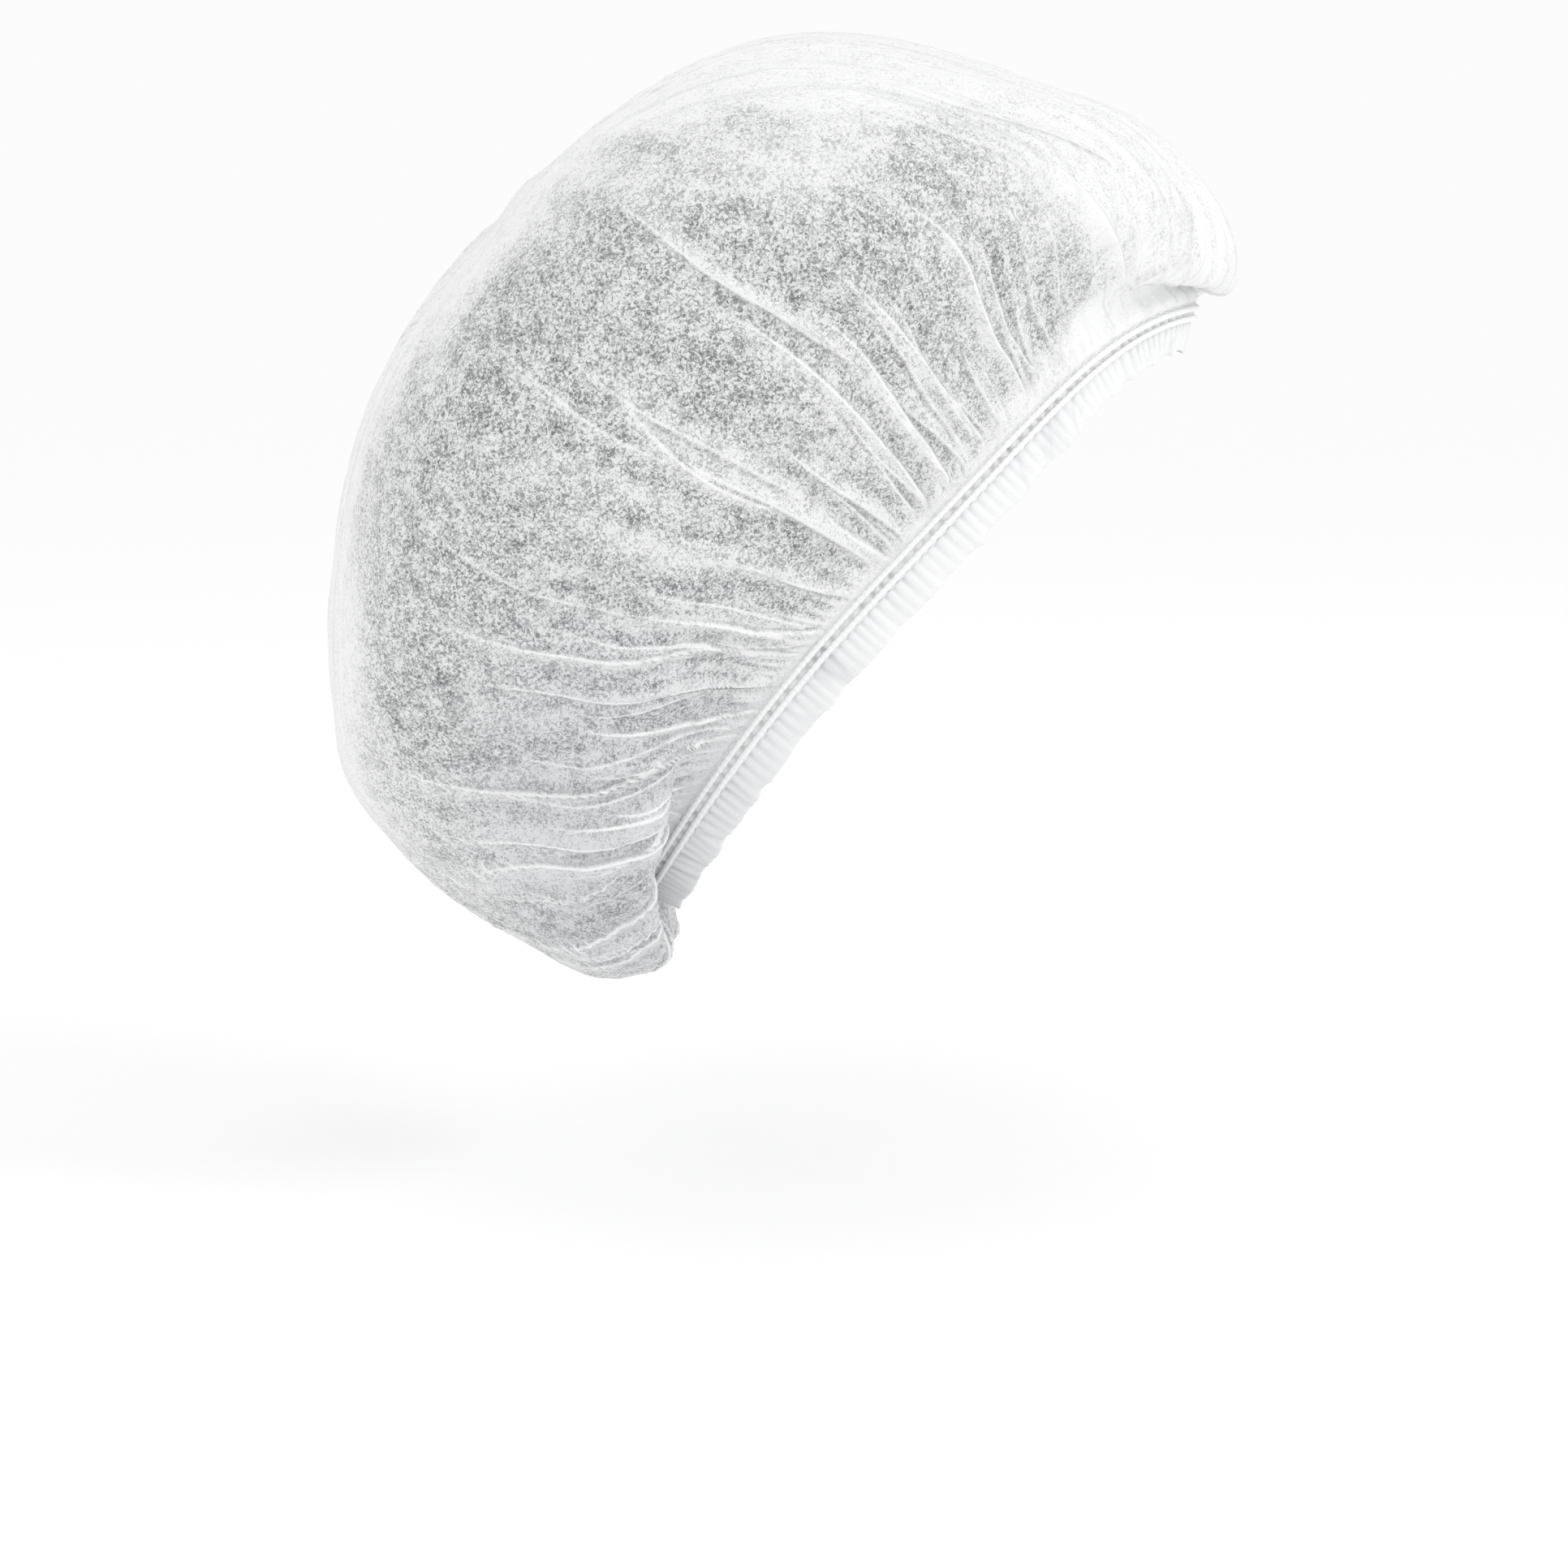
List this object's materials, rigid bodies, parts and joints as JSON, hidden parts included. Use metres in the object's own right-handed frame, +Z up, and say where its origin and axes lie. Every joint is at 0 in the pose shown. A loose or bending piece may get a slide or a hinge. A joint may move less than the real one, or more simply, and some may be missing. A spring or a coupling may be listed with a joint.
{
  "type": "disposable bouffant cap",
  "caption": "Disposable white non-woven bouffant cap: a puffed, pleated crown gathered on an elastic hem with a ruffled edge, held in its worn shape.",
  "frame": {"origin": "the centre of the elastic loop, where the head goes in and holds the cap up", "axes": "+Z up, -Y towards the forehead, +X towards the wearer's left. The loop's plane falls 46.6 degrees from the forehead to the nape"},
  "size_m": [0.2485, 0.2855, 0.2973],
  "materials": {
    "spunbond_cloth": "matt, semi-transparent spunbond polypropylene",
    "hem_cloth": "matt, doubled spunbond polypropylene",
    "elastic": "satin, covered elastic strand"
  },
  "bodies": {
    "root": {"crown": "spunbond_cloth", "hem_casing": "hem_cloth", "hem_ruffle": "hem_cloth", "elastic_upper": "elastic", "elastic_lower": "elastic"}
  },
  "joints": []
}
